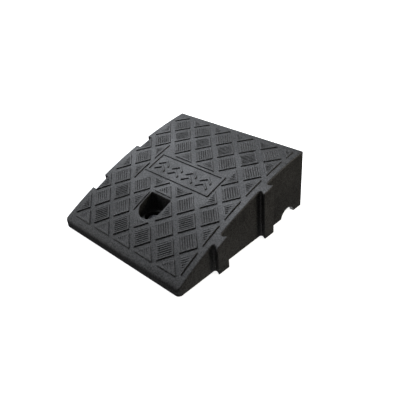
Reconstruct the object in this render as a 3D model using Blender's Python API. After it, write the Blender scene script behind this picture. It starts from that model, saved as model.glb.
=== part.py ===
"""Kerb ramp module: one hollow moulding, four grip pads and the captive-washer bolt that holds it down.

Frame: the origin is the centre of the footprint on the ground, +Z is up, +Y points at the kerb
(the high end) and +X is the side with the dovetail lugs. All lengths are in metres.
"""
import math

import bmesh
import bpy
from mathutils import Vector

# ---- driving dimensions of the moulding ----
WIDTH = 0.250            # one module, side wall to side wall
DEPTH = 0.261            # nose to the top edge of the kerb face
HEIGHT = 0.091           # ground to the back edge of the deck
DECK_START = 0.0873      # slope of the deck at its back edge, in radians
DECK_BEND = 1.5168       # curvature of the deck's arc, in 1/m: the slope grows by this each metre
DECK_LENGTH = 0.270      # length of the arc, from the back edge to the nose roll
KERB_DRAFT = 0.0014      # the kerb face leans: its foot lies this far inside its top edge
CORNER_RADIUS = 0.006    # plan radius of the two nose corners
SHELL = 0.007            # thickness of the outer walls
DECK_THICK = 0.008       # thickness of the deck, measured upright

# ---- raised tread pattern ----
TREAD_PITCH = 0.0459     # block to block across the deck
TREAD_FIRST = 0.0093     # back edge to the first row's centre line, along the arc
TREAD_ROWS = 12
TREAD_HALF = 0.0179      # half diagonal of one square block
TREAD_RISE = 0.0014      # height of the blocks, the frame and the arrows over the deck
TREAD_ROOT = 0.0008      # how far they are sunk into the deck
FIELD_X = 0.1145         # half width of the patterned field
FIELD_END = 0.26175      # where the field stops above the nose, along the arc
SMALLEST_BLOCK = 2e-5    # cut pieces with less area than this, in square metres, are left out

# ---- plain panel in the tread, with a raised frame and four double arrows ----
PANEL_ZONE = (0.0694, 0.1002, 0.1478)   # half width, then the stretch along the arc that it clears
FRAME_HALF = 0.0658
FRAME_SPAN = (0.1017, 0.1440)
FRAME_RIB = 0.0045
ARROW_XS = (-0.0435, -0.0145, 0.0145, 0.0435)
ARROW_HALF = 0.0105
ARROW_RISE = 0.0080      # height of one arrow's point over its feet, along the arc
ARROW_STROKE = 0.0045    # thickness of the stroke, along the arc
ARROW_STEP = 0.0105      # from one arrow of a pair to the next
ARROW_FOOT = 0.1360      # where the lower arrow's feet end, along the arc

# ---- bolt well ----
WELL_Y = -0.0572
WELL_RADIUS = 0.0200
WELL_BACK = 0.0192       # from the well's centre to its straight back wall
WELL_FLOOR = 0.0290
WELL_ZONE = (0.02295, 0.1695, 0.2176)
BORE_RADIUS = 0.0125     # round room for the bolt's head and a socket wrench
SEAT_Z = 0.0060          # face that the flat washer is pulled down on
HOLE_RADIUS = 0.0058
BOSS_WALL = 0.0050
CORE_SPAN = (0.0135, 0.0240)   # the boss is cored out at its four corners, this far from its centre
CORE_TOP = 0.0220

# ---- side dovetails ----
LUG_YS = (-0.0575, 0.0380)
LUG_REACH = 0.0100
LUG_NECK = 0.0070        # half width where the lug meets the wall
LUG_HEAD = 0.0107        # half width of its outer face
LUG_FILLET = 0.0035
SOCKET_DEPTH = 0.0103
SOCKET_SHIFT = 0.0013    # a socket's middle lies this far nearer to the nose than its lug's
SOCKET_MOUTH = 0.0122    # half width at the wall
SOCKET_BACK = 0.0126     # half width at its inner face
SOCKET_SHELL = 0.0055    # the wall is this thick round a socket

# ---- drain tunnel ----
TUNNEL_Y = 0.0946
TUNNEL_RADIUS = 0.0160
TUNNEL_DROP = 0.0035     # the arch's centre lies this far under the ground

# ---- ribs under the deck ----
RIB = 0.005
COLUMNS = 8
CELLS_BEHIND = 5         # rows of cells between the footprint's centre and the kerb wall
CELLS_AHEAD = 4          # rows of cells between the centre and the nose
NOSE_SOLID = 0.018       # the nose is solid for this length

# ---- grip pads ----
PAD_RADIUS = 0.0090
PAD_THICK = 0.0027
PAD_STEM_RADIUS = 0.0030
PAD_STEM_TOP = 0.0095
CLEARANCE = 0.0003
OVERRUN = 0.010          # how far a cutter runs past the faces that it opens

# ---- bolt M10 x 20 with captive washers ----
BOLT_TIP_Z = 0.0003
BOLT_RADIUS = 0.0049
BOLT_LENGTH = 0.0200
HEAD_FLATS = 0.0160
HEAD_HEIGHT = 0.0064
TIP_CHAMFER = 0.0010
WASHER_BORE = 0.0053
FLAT_WASHER_RADIUS = 0.0100
FLAT_WASHER_THICK = 0.0020
SPRING_WASHER_RADIUS = 0.0090
SPRING_WASHER_THICK = 0.0022
SPRING_WASHER_SLIT = math.radians(14)
SHANK_SINK = 0.0020      # the turned shank runs this far up into the head
HEAD_CONE_DROP = 0.0031  # how far the head's corner chamfer falls outside the corners
HEAD_CONE_REACH = 0.0045

ROUND_STEPS = 32


# ---------------------------------------------------------------- deck geometry
def deck_angle(s):
    """Slope of the deck, in radians, at the arc length s from its back edge."""
    return DECK_START + DECK_BEND * s


def deck_point(x, s, lift=0.0):
    """Point of the deck at x across and s along, lifted along the deck's normal."""
    angle = deck_angle(s)
    y = DEPTH / 2 - (math.sin(angle) - math.sin(DECK_START)) / DECK_BEND
    z = HEIGHT - (math.cos(DECK_START) - math.cos(angle)) / DECK_BEND
    return Vector((x, y - lift * math.sin(angle), z + lift * math.cos(angle)))


def deck_height(y):
    """Height of the deck over the ground at the plan position y."""
    sine = math.sin(DECK_START) + DECK_BEND * (DEPTH / 2 - y)
    return HEIGHT - (math.cos(DECK_START) - math.sqrt(1 - sine * sine)) / DECK_BEND


def arc_points(centre, radius, start, end, steps):
    """Points along a circular arc, both ends included; angles in degrees."""
    points = []
    for i in range(steps + 1):
        angle = math.radians(start + (end - start) * i / steps)
        points.append((centre[0] + radius * math.cos(angle), centre[1] + radius * math.sin(angle)))
    return points


# ---------------------------------------------------------------- mesh helpers
def finish_object(name, bm, material=None, location=(0, 0, 0)):
    """Turn a bmesh into an object with outward faces and smooth round sides."""
    bmesh.ops.recalc_face_normals(bm, faces=bm.faces)
    mesh = bpy.data.meshes.new(name)
    bm.to_mesh(mesh)
    bm.free()
    mesh.shade_smooth()
    mesh.set_sharp_from_angle(angle=math.radians(30))
    thing = bpy.data.objects.new(name, mesh)
    thing.location = location
    bpy.context.scene.collection.objects.link(thing)
    if material:
        mesh.materials.append(material)
    return thing


def extrude_outline(bm, corners, travel):
    """Fill a closed outline of 3-D corners and extrude it by the travel vector."""
    face = bm.faces.new([bm.verts.new(corner) for corner in corners])
    extruded = bmesh.ops.extrude_face_region(bm, geom=[face])
    moved = [item for item in extruded["geom"] if isinstance(item, bmesh.types.BMVert)]
    bmesh.ops.translate(bm, verts=moved, vec=travel)


def prism(name, outline, low, high, material=None):
    """Upright solid over a plan outline."""
    bm = bmesh.new()
    extrude_outline(bm, [(x, y, low) for x, y in outline], (0, 0, high - low))
    return finish_object(name, bm, material)


def turned(name, profile, location=(0, 0, 0), material=None):
    """Solid of revolution about Z. The profile lists (radius, height); a ring's profile is closed."""
    bm = bmesh.new()
    verts = [bm.verts.new((radius, 0, height)) for radius, height in profile]
    edges = [bm.edges.new(pair) for pair in zip(verts, verts[1:])]
    if profile[0][0] > 0:
        edges.append(bm.edges.new((verts[-1], verts[0])))
    bmesh.ops.spin(bm, geom=verts + edges, cent=(0, 0, 0), axis=(0, 0, 1),
                   angle=2 * math.pi, steps=ROUND_STEPS, use_merge=True)
    bmesh.ops.remove_doubles(bm, verts=bm.verts, dist=1e-6)
    return finish_object(name, bm, material, location)


def boolean(target, tool, operation):
    """Leave a live Boolean on the target, and mark the tool as a guide."""
    modifier = target.modifiers.new(tool.name, "BOOLEAN")
    modifier.operation = operation
    modifier.solver = "EXACT"
    modifier.object = tool
    tool.hide_render = True
    tool.display_type = "WIRE"


def principled(name, colour, roughness, metallic=0.0):
    """Plain Principled material."""
    material = bpy.data.materials.new(name)
    material.use_nodes = True
    shader = material.node_tree.nodes["Principled BSDF"]
    shader.inputs["Base Color"].default_value = (*colour, 1.0)
    shader.inputs["Roughness"].default_value = roughness
    shader.inputs["Metallic"].default_value = metallic
    return material


# ---------------------------------------------------------------- the moulding's outside
def side_profile():
    """Outline of the moulding seen from the side, as (y, z): kerb wall, deck arc, nose roll."""
    steps = 16
    points = [(DEPTH / 2 - KERB_DRAFT, 0.0)]
    for i in range(steps + 1):
        point = deck_point(0, DECK_LENGTH * i / steps)
        points.append((point.y, point.z))
    end_angle = deck_angle(DECK_LENGTH)
    end = deck_point(0, DECK_LENGTH)
    radius = (end.y + DEPTH / 2) / (1 - math.sin(end_angle))
    centre = (end.y + radius * math.sin(end_angle), end.z - radius * math.cos(end_angle))
    start = 90 + math.degrees(end_angle)
    points.extend(arc_points(centre, radius, start, 180, 5)[1:])
    points.append((-DEPTH / 2, 0.0))
    return points


def lug_outline(y):
    """Plan outline of one dovetail lug on the +X wall, going towards +Y."""
    wall = WIDTH / 2
    return [(wall, y - LUG_NECK - LUG_FILLET),
            (wall + LUG_FILLET * 0.35, y - LUG_NECK - LUG_FILLET * 0.35),
            (wall + LUG_FILLET, y - LUG_NECK - 0.0003),
            (wall + LUG_REACH, y - LUG_HEAD),
            (wall + LUG_REACH, y + LUG_HEAD),
            (wall + LUG_FILLET, y + LUG_NECK + 0.0003),
            (wall + LUG_FILLET * 0.35, y + LUG_NECK + LUG_FILLET * 0.35),
            (wall, y + LUG_NECK + LUG_FILLET)]


def socket_outline(y):
    """Plan outline of one dovetail socket in the -X wall, going towards -Y."""
    wall = -WIDTH / 2
    return [(wall, y + SOCKET_MOUTH), (wall + SOCKET_DEPTH, y + SOCKET_BACK),
            (wall + SOCKET_DEPTH, y - SOCKET_BACK), (wall, y - SOCKET_MOUTH)]


def plan_outline():
    """Plan outline of the moulding: round nose corners, lugs on +X, sockets on -X."""
    x, y, r = WIDTH / 2, DEPTH / 2, CORNER_RADIUS
    points = arc_points((x - r, -y + r), r, -90, 0, 5)
    for lug_y in LUG_YS:
        points.extend(lug_outline(lug_y))
    points.extend([(x, y), (-x, y)])
    for lug_y in reversed(LUG_YS):
        points.extend(socket_outline(lug_y - SOCKET_SHIFT))
    points.extend(arc_points((-x + r, -y + r), r, 180, 270, 5))
    return points


def outer_solid(material):
    """Side profile carried across the width, trimmed to the plan outline."""
    bm = bmesh.new()
    reach = WIDTH / 2 + LUG_REACH + OVERRUN
    extrude_outline(bm, [(-reach, y, z) for y, z in side_profile()], (2 * reach, 0, 0))
    body = finish_object("ramp_body", bm, material)
    boolean(body, prism("plan_trim", plan_outline(), -OVERRUN, HEIGHT + OVERRUN), "INTERSECT")
    return body


# ---------------------------------------------------------------- tread pattern
def clip(outline, axis, limit, keep_above):
    """Part of a convex outline on one side of a line x = limit or s = limit."""
    sign = 1 if keep_above else -1
    kept = []
    for here, there in zip(outline, outline[1:] + outline[:1]):
        inside, next_inside = (sign * (p[axis] - limit) >= 0 for p in (here, there))
        if inside:
            kept.append(here)
        if inside != next_inside:
            t = (limit - here[axis]) / (there[axis] - here[axis])
            kept.append(tuple(a + t * (b - a) for a, b in zip(here, there)))
    return kept


def area(outline):
    """Area of an outline by the shoelace formula."""
    pairs = zip(outline, outline[1:] + outline[:1])
    return abs(sum(a[0] * b[1] - b[0] * a[1] for a, b in pairs)) / 2


def clear_of(outline, zone):
    """The largest piece of an outline that stays out of a plain zone (half width, from, to)."""
    half, start, end = zone
    xs, ss = zip(*outline)
    if min(xs) >= half or max(xs) <= -half or min(ss) >= end or max(ss) <= start:
        return outline
    choices = [clip(outline, 0, half, True), clip(outline, 0, -half, False),
               clip(outline, 1, start, False), clip(outline, 1, end, True)]
    return max(choices, key=area)


def tread_outlines():
    """Outlines (x, s) of every block: squares on their corners in staggered rows."""
    outlines = []
    for row in range(TREAD_ROWS):
        s = TREAD_FIRST + row * TREAD_PITCH / 2
        shift = 0.0 if row % 2 else 0.5
        for column in range(-3, 3):
            x = (column + shift) * TREAD_PITCH
            square = [(x, s - TREAD_HALF), (x + TREAD_HALF, s), (x, s + TREAD_HALF), (x - TREAD_HALF, s)]
            for axis, limit, above in ((0, -FIELD_X, True), (0, FIELD_X, False),
                                       (1, TREAD_FIRST, True), (1, FIELD_END, False)):
                square = clip(square, axis, limit, above)
            for zone in (PANEL_ZONE, WELL_ZONE):
                if square:
                    square = clear_of(square, zone)
            if area(square) > SMALLEST_BLOCK:
                outlines.append(square)
    return outlines


def panel_outlines():
    """Outlines of the panel's frame, as four bars, and of its double arrows."""
    low, high = FRAME_SPAN
    w, r = FRAME_HALF, FRAME_RIB
    bars = [[(-w, low), (w, low), (w - r, low + r), (-w + r, low + r)],
            [(w, low), (w, high), (w - r, high - r), (w - r, low + r)],
            [(w, high), (-w, high), (-w + r, high - r), (w - r, high - r)],
            [(-w, high), (-w, low), (-w + r, low + r), (-w + r, high - r)]]
    arrows = []
    for x in ARROW_XS:
        for step in range(2):
            foot = ARROW_FOOT - step * ARROW_STEP
            arrows.append([(x - ARROW_HALF, foot), (x, foot - ARROW_RISE), (x + ARROW_HALF, foot),
                           (x + ARROW_HALF, foot - ARROW_STROKE),
                           (x, foot - ARROW_RISE - ARROW_STROKE),
                           (x - ARROW_HALF, foot - ARROW_STROKE)])
    return bars, arrows


def raised_mesh(name, outlines):
    """Raise each outline (x, s) over the deck as a solid that is sunk a little into it."""
    bm = bmesh.new()
    for outline in outlines:
        middle = sum(s for _, s in outline) / len(outline)
        travel = deck_point(0, middle, TREAD_RISE + TREAD_ROOT) - deck_point(0, middle)
        extrude_outline(bm, [deck_point(x, s, -TREAD_ROOT) for x, s in outline], travel)
    bmesh.ops.remove_doubles(bm, verts=bm.verts, dist=1e-7)
    return finish_object(name, bm)


# ---------------------------------------------------------------- underside
def cell_rows():
    """Stretches along Y of the rows of cells, with a rib on the footprint's centre."""
    rows = []
    behind = (DEPTH / 2 - SHELL - RIB / 2 - (CELLS_BEHIND - 1) * RIB) / CELLS_BEHIND
    ahead = (DEPTH / 2 - NOSE_SOLID - RIB / 2 - (CELLS_AHEAD - 1) * RIB) / CELLS_AHEAD
    for i in range(CELLS_AHEAD):
        top = -RIB / 2 - i * (ahead + RIB)
        rows.append((top - ahead, top))
    for i in range(CELLS_BEHIND):
        low = RIB / 2 + i * (behind + RIB)
        rows.append((low, low + behind))
    return rows


def cell_columns():
    """Stretches along X of the columns of cells, with a rib on the centre line."""
    size = (WIDTH - 2 * SHELL - (COLUMNS - 1) * RIB) / COLUMNS
    start = -WIDTH / 2 + SHELL
    return [(start + i * (size + RIB), start + i * (size + RIB) + size) for i in range(COLUMNS)]


def overlaps(span, low, high):
    """Whether a stretch reaches into the one from low to high."""
    return span[0] < high and span[1] > low


def pad_places():
    """Centres of the four grip pads: the solid cells near the corners."""
    columns, rows = cell_columns(), cell_rows()
    places = {}
    for side, column in (("left", 1), ("right", COLUMNS - 2)):
        for end, row in (("front", CELLS_AHEAD - 2), ("back", CELLS_AHEAD + 2)):
            places[end + "_" + side] = (sum(columns[column]) / 2, sum(rows[row]) / 2)
    return places


def cells_mesh():
    """Hollow cells that are open to the ground, each with a top that follows the deck."""
    pads = pad_places().values()
    boss = WELL_RADIUS + BOSS_WALL
    bm = bmesh.new()
    for column in cell_columns():
        for row in cell_rows():
            if any(overlaps(column, x, x) and overlaps(row, y, y) for x, y in pads):
                continue
            beside_well = overlaps(row, WELL_Y - boss, WELL_Y + boss)
            if overlaps(column, -boss, boss) and beside_well:
                continue
            left, right = column
            beside = SOCKET_BACK + SOCKET_SHELL
            middles = [y - SOCKET_SHIFT for y in LUG_YS]
            if any(overlaps(row, y - beside, y + beside) for y in middles):
                left = max(left, -WIDTH / 2 + SOCKET_DEPTH + SOCKET_SHELL)
            low_top, high_top = (deck_height(y) - DECK_THICK for y in row)
            corners = [(left, row[0], -OVERRUN), (left, row[1], -OVERRUN),
                       (left, row[1], high_top), (left, row[0], low_top)]
            extrude_outline(bm, corners, (right - left, 0, 0))
    near, far = CORE_SPAN
    for side in (-1, 1):
        for end in (-1, 1):
            xs, ys = (side * near, side * far), (WELL_Y + end * near, WELL_Y + end * far)
            plan = [(xs[0], ys[0]), (xs[1], ys[0]), (xs[1], ys[1]), (xs[0], ys[1])]
            extrude_outline(bm, [(x, y, -OVERRUN) for x, y in plan], (0, 0, CORE_TOP + OVERRUN))
    return finish_object("rib_cells", bm)


def well_outline():
    """Plan outline of the well: round towards the nose, straight towards the kerb."""
    points = arc_points((0, WELL_Y), WELL_RADIUS, 180, 360, 16)
    return points + [(WELL_RADIUS, WELL_Y + WELL_BACK), (-WELL_RADIUS, WELL_Y + WELL_BACK)]


def tunnel_cutter():
    """Arch across the whole width for water or a cable."""
    bm = bmesh.new()
    reach = WIDTH / 2 + LUG_REACH + OVERRUN
    circle = arc_points((TUNNEL_Y, -TUNNEL_DROP), TUNNEL_RADIUS, 0, 180, 12)
    low = [(TUNNEL_Y - TUNNEL_RADIUS, -OVERRUN), (TUNNEL_Y + TUNNEL_RADIUS, -OVERRUN)]
    extrude_outline(bm, [(-reach, y, z) for y, z in circle + low], (2 * reach, 0, 0))
    return finish_object("tunnel_cut", bm)


def make_ramp_body():
    """The one-piece moulding."""
    material = principled("moulded_plastic", (0.055, 0.057, 0.060), 0.62)
    body = outer_solid(material)
    boolean(body, cells_mesh(), "DIFFERENCE")
    bars, arrows = panel_outlines()
    boolean(body, raised_mesh("tread_blocks", tread_outlines()), "UNION")
    boolean(body, raised_mesh("panel_bars", bars), "UNION")
    boolean(body, raised_mesh("panel_arrows", arrows), "UNION")
    boolean(body, prism("well_cut", well_outline(), WELL_FLOOR, HEIGHT + OVERRUN), "DIFFERENCE")
    bore = [(0, -OVERRUN), (HOLE_RADIUS, -OVERRUN), (HOLE_RADIUS, SEAT_Z), (BORE_RADIUS, SEAT_Z),
            (BORE_RADIUS, WELL_FLOOR + 0.002), (0, WELL_FLOOR + 0.002)]
    boolean(body, turned("bore_cut", bore, (0, WELL_Y, 0)), "DIFFERENCE")
    boolean(body, tunnel_cutter(), "DIFFERENCE")
    pocket = [(0, -OVERRUN), (PAD_RADIUS + CLEARANCE, -OVERRUN), (PAD_RADIUS + CLEARANCE, PAD_THICK + CLEARANCE),
              (PAD_STEM_RADIUS + CLEARANCE, PAD_THICK + CLEARANCE),
              (PAD_STEM_RADIUS + CLEARANCE, PAD_STEM_TOP + CLEARANCE), (0, PAD_STEM_TOP + CLEARANCE)]
    for name, (x, y) in pad_places().items():
        boolean(body, turned("pad_pocket_" + name, pocket, (x, y, 0)), "DIFFERENCE")


# ---------------------------------------------------------------- small pieces
def make_grip_pads():
    """Push-in rubber pads, flush with the underside."""
    rubber = principled("pad_rubber", (0.018, 0.018, 0.018), 0.85)
    profile = [(0, 0), (PAD_RADIUS, 0), (PAD_RADIUS, PAD_THICK), (PAD_STEM_RADIUS, PAD_THICK),
               (PAD_STEM_RADIUS, PAD_STEM_TOP), (0, PAD_STEM_TOP)]
    for name, (x, y) in pad_places().items():
        turned("grip_pad_" + name, profile, (x, y, 0), rubber)


def make_washers(head_z):
    """Captive washers under the bolt's head: a split spring washer over a flat one."""
    steel = principled("washer_steel", (0.16, 0.16, 0.165), 0.42, 1.0)
    spring_top = head_z - CLEARANCE
    spring_low = spring_top - SPRING_WASHER_THICK
    slit = math.degrees(SPRING_WASHER_SLIT) / 2
    outline = arc_points((0, 0), SPRING_WASHER_RADIUS, slit, 360 - slit, ROUND_STEPS)
    outline += arc_points((0, 0), WASHER_BORE, 360 - slit, slit, ROUND_STEPS)
    spring = prism("spring_washer", outline, 0, SPRING_WASHER_THICK, steel)
    spring.location = (0, WELL_Y, spring_low)
    flat_top = spring_low - CLEARANCE
    ring = [(WASHER_BORE, 0), (FLAT_WASHER_RADIUS, 0),
            (FLAT_WASHER_RADIUS, FLAT_WASHER_THICK), (WASHER_BORE, FLAT_WASHER_THICK)]
    turned("flat_washer", ring, (0, WELL_Y, flat_top - FLAT_WASHER_THICK), steel)


def make_bolt():
    """Hexagon bolt: the shank is turned, the head is a six-sided prism bevelled on top."""
    steel = principled("bolt_steel", (0.14, 0.14, 0.145), 0.38, 1.0)
    corner = HEAD_FLATS / 2 / math.cos(math.radians(30))
    shank = [(0, 0), (BOLT_RADIUS - TIP_CHAMFER, 0), (BOLT_RADIUS, TIP_CHAMFER),
             (BOLT_RADIUS, BOLT_LENGTH + SHANK_SINK), (0, BOLT_LENGTH + SHANK_SINK)]
    core = turned("bolt_core", shank, (0, WELL_Y, BOLT_TIP_Z))
    hexagon = [(corner * math.cos(math.radians(60 * i)), corner * math.sin(math.radians(60 * i)))
               for i in range(6)]
    head = prism("hex_bolt", hexagon, BOLT_LENGTH, BOLT_LENGTH + HEAD_HEIGHT, steel)
    head.location = (0, WELL_Y, BOLT_TIP_Z)
    below, above = BOLT_LENGTH - 0.001, BOLT_LENGTH + HEAD_HEIGHT + 0.0001
    cone = [(0, below), (corner + HEAD_CONE_REACH, below),
            (corner + HEAD_CONE_REACH, BOLT_LENGTH + HEAD_HEIGHT - HEAD_CONE_DROP),
            (HEAD_FLATS / 2 - CLEARANCE, above), (0, above)]
    boolean(head, turned("head_chamfer", cone, (0, WELL_Y, BOLT_TIP_Z)), "INTERSECT")
    boolean(head, core, "UNION")


for old in list(bpy.data.objects):
    bpy.data.objects.remove(old)
make_ramp_body()
make_grip_pads()
make_bolt()
make_washers(BOLT_TIP_Z + BOLT_LENGTH)
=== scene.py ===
# %% [markdown]
# A kerb ramp module is a hollow wedge, moulded in one shot and laid against a kerb so that a
# wheelchair can roll up it. This lesson rebuilds its outside, its raised tread, the honeycomb of
# ribs underneath, and the small hardware that holds it to the ground. Every length is in metres.

import math

import bmesh
import bpy
import numpy as np
from mathutils import Matrix, Vector
from mathutils.geometry import delaunay_2d_cdt


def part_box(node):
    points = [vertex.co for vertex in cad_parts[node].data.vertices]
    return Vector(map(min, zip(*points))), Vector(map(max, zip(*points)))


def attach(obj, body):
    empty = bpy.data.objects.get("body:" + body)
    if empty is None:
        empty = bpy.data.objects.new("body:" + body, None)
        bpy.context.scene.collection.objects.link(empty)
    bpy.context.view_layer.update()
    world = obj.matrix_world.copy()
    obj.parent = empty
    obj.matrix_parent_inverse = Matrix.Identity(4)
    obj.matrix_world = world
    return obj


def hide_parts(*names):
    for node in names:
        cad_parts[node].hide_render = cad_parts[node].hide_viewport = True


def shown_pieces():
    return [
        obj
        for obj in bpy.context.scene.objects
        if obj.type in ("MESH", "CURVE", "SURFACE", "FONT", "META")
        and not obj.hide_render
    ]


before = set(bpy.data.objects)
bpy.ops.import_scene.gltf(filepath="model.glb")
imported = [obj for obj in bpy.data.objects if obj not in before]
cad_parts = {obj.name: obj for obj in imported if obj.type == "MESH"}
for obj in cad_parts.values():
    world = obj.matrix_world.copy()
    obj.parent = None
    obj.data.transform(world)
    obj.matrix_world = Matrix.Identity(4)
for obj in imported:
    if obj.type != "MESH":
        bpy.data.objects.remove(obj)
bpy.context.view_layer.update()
body_low, body_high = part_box("ramp_body")
print("ramp body from", [round(v, 4) for v in body_low], "to", [round(v, 4) for v in body_high])

# %% [markdown]
# The deck isn't flat: seen from the side it is one shallow arc, gentle at the kerb and steeper at
# the nose, where a small roll takes it down to the road. Everything raised on the deck has to
# follow that arc, so the arc is written once, as a function of the distance s walked down it.

# %% The deck's arc
MM = 0.001
WIDTH = 0.250
DEPTH = 0.261
HEIGHT = 0.091
KERB_DRAFT = 0.0014
DECK_START = 0.0873
DECK_BEND = 1.5168
DECK_LENGTH = 0.270


def deck_point(x, s, lift):
    """Points lifted over the deck's arc.

    The slope grows by DECK_BEND per metre walked. y falls with the sine of the slope and z with
    its cosine, and the lift goes along the normal, which leans by the slope.
    """
    slope = DECK_START + DECK_BEND * s
    y = DEPTH / 2 - (np.sin(slope) - math.sin(DECK_START)) / DECK_BEND - lift * np.sin(slope)
    z = HEIGHT - (math.cos(DECK_START) - np.cos(slope)) / DECK_BEND + lift * np.cos(slope)
    return np.stack(np.broadcast_arrays(x, y, z), axis=-1)


END_SLOPE = DECK_START + DECK_BEND * DECK_LENGTH
END_POINT = deck_point(0.0, DECK_LENGTH, 0.0)
ROLL_RADIUS = (END_POINT[1] + DEPTH / 2) / (1 - math.sin(END_SLOPE))
ROLL_Y = END_POINT[1] + ROLL_RADIUS * math.sin(END_SLOPE)
ROLL_Z = END_POINT[2] - ROLL_RADIUS * math.cos(END_SLOPE)


def deck_height(y):
    """Height at plan position y: the circle of the arc, and past its end the circle of the roll."""
    sine = np.clip(math.sin(DECK_START) + DECK_BEND * (DEPTH / 2 - y), 0, 0.99)
    arc = HEIGHT - (math.cos(DECK_START) - np.sqrt(1 - sine * sine)) / DECK_BEND
    roll = ROLL_Z + np.sqrt(np.clip(ROLL_RADIUS ** 2 - (y - ROLL_Y) ** 2, 0, None))
    return np.where(y > END_POINT[1], arc, roll)


print("nose roll radius", round(ROLL_RADIUS * 1000, 2), "mm")

# %% [markdown]
# Most shapes here are closed loops stacked on top of each other: a wall is two loops, a rounded
# edge is six. So two helpers do the bulk of the work. One turns a grid of points into quads, the
# other turns finished points into a piece that rides on the right body of the model.

# %% Turning points into pieces
def grid_faces(rows, columns, close_rows=False, close_columns=False):
    """Quads of a grid stored row by row; a closed direction joins its last line to its first."""
    r = np.arange(rows if close_rows else rows - 1)[:, None]
    c = np.arange(columns if close_columns else columns - 1)[None, :]
    r2, c2 = (r + 1) % rows, (c + 1) % columns
    quads = np.stack([r * columns + c, r * columns + c2, r2 * columns + c2, r2 * columns + c], -1)
    return quads.reshape(-1, 4).tolist()


def stacked_loops(loops):
    """Closed solid from loops of equal count: quads between them and a flat cap at both ends."""
    rows, columns = loops.shape[:2]
    faces = grid_faces(rows, columns, close_columns=True)
    faces.append(list(range(columns)))
    faces.append(list(range((rows - 1) * columns, rows * columns)))
    return loops.reshape(-1, 3), faces


def joined(solids):
    """Several (points, faces) solids as one."""
    points, faces, start = [], [], 0
    for some_points, some_faces in solids:
        points.append(some_points)
        faces.extend([[i + start for i in face] for face in some_faces])
        start += len(some_points)
    return np.concatenate(points), faces


def make_mesh_object(name, points, faces, smooth_below=30):
    """Mesh object with doubles merged, faces outward and edges sharp above an angle in degrees."""
    mesh = bpy.data.meshes.new(name)
    mesh.from_pydata(np.asarray(points).tolist(), [], faces)
    bm = bmesh.new()
    bm.from_mesh(mesh)
    bmesh.ops.remove_doubles(bm, verts=bm.verts, dist=1e-6)
    bmesh.ops.recalc_face_normals(bm, faces=bm.faces)
    bm.to_mesh(mesh)
    bm.free()
    mesh.shade_smooth()
    mesh.set_sharp_from_angle(angle=math.radians(smooth_below))
    thing = bpy.data.objects.new(name, mesh)
    bpy.context.scene.collection.objects.link(thing)
    return thing


def declare(piece, body, node):
    """Say which body a piece rides on and which node it stands for, and hide that node."""
    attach(piece, body)
    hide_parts(node)
    piece.data.calc_loop_triangles()
    print(piece.name, len(piece.data.loop_triangles), "triangles")
    return piece


# %% [markdown]
# In plan, the moulding is a rectangle with two dovetail lugs on one side and two matching sockets
# on the other. A mould has no perfectly sharp corner, so each corner gets a radius. Moving the
# outline inwards has to shrink the radius of an outer corner and grow that of an inner one, and
# doing it by formula keeps the point count the same on every loop.

# %% Outline with rounded corners
def inset_outline(corners, radii, inset, step, rolls=None):
    """Points (and edge radii) of a polygon moved inwards by an inset, with round corners.

    A corner moves along the sum of its two side normals, divided by one plus their cosine. Its
    arc's radius is the given one less the inset on a convex corner, plus it on a hollow one, and
    the arc starts the radius times tan(half the turn) before the corner.
    """
    here = np.asarray(corners, float)
    ahead = np.roll(here, -1, axis=0) - here
    length = np.linalg.norm(ahead, axis=1)
    leave = ahead / length[:, None]
    arrive = np.roll(leave, 1, axis=0)
    turn = np.arctan2(arrive[:, 0] * leave[:, 1] - arrive[:, 1] * leave[:, 0],
                      (arrive * leave).sum(1))
    side_in = np.stack([-arrive[:, 1], arrive[:, 0]], 1)
    side_out = np.stack([-leave[:, 1], leave[:, 0]], 1)
    moved = here + inset * (side_in + side_out) / (1 + (side_in * side_out).sum(1))[:, None]
    sign = np.sign(turn)
    radius = np.maximum(np.broadcast_to(radii, len(here)) - sign * inset, 0.05 * MM)
    tangent = radius * np.tan(np.abs(turn) / 2)
    start = moved - arrive * tangent[:, None]
    end = moved + leave * tangent[:, None]
    centre = start + side_in * (sign * radius)[:, None]
    rolls = np.zeros((len(here), 2)) if rolls is None else np.asarray(rolls)
    points, edge_radii = [], []
    for i in range(len(here)):
        steps = max(2, math.ceil(abs(turn[i]) / math.radians(15)))
        t = np.linspace(0, 1, steps + 1)
        cos, sin = np.cos(turn[i] * t), np.sin(turn[i] * t)
        sx, sy = start[i] - centre[i]
        points.append(centre[i] + np.stack([sx * cos - sy * sin, sx * sin + sy * cos], 1))
        edge_radii.append(rolls[i][0] + t * (rolls[i][1] - rolls[i][0]))
        j = (i + 1) % len(here)
        t = np.linspace(0, 1, max(1, round(length[i] / step)) + 1)[1:-1]
        points.append(end[i] + t[:, None] * (start[j] - end[i]))
        edge_radii.append(rolls[i][1] + t * (rolls[j][0] - rolls[i][1]))
    return np.concatenate(points), np.concatenate(edge_radii)


# %% Plan of the moulding
LUG_YS = (-0.0575, 0.0380)
LUG_REACH = 0.0100
LUG_HEAD = 0.0107
LUG_ROOT = 0.0055
SOCKET_SHIFT = 0.0013
SOCKET_DEPTH = 0.0103
SOCKET_MOUTH = 0.0122
SOCKET_BACK = 0.0126
SIDE_ROLL = 2.0 * MM
FAR_ROLL = 0.8 * MM
LUG_ROLL = 1.3 * MM
KERB_ROLL = 0.7 * MM
SOCKET_ROLL = 0.6 * MM

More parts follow.
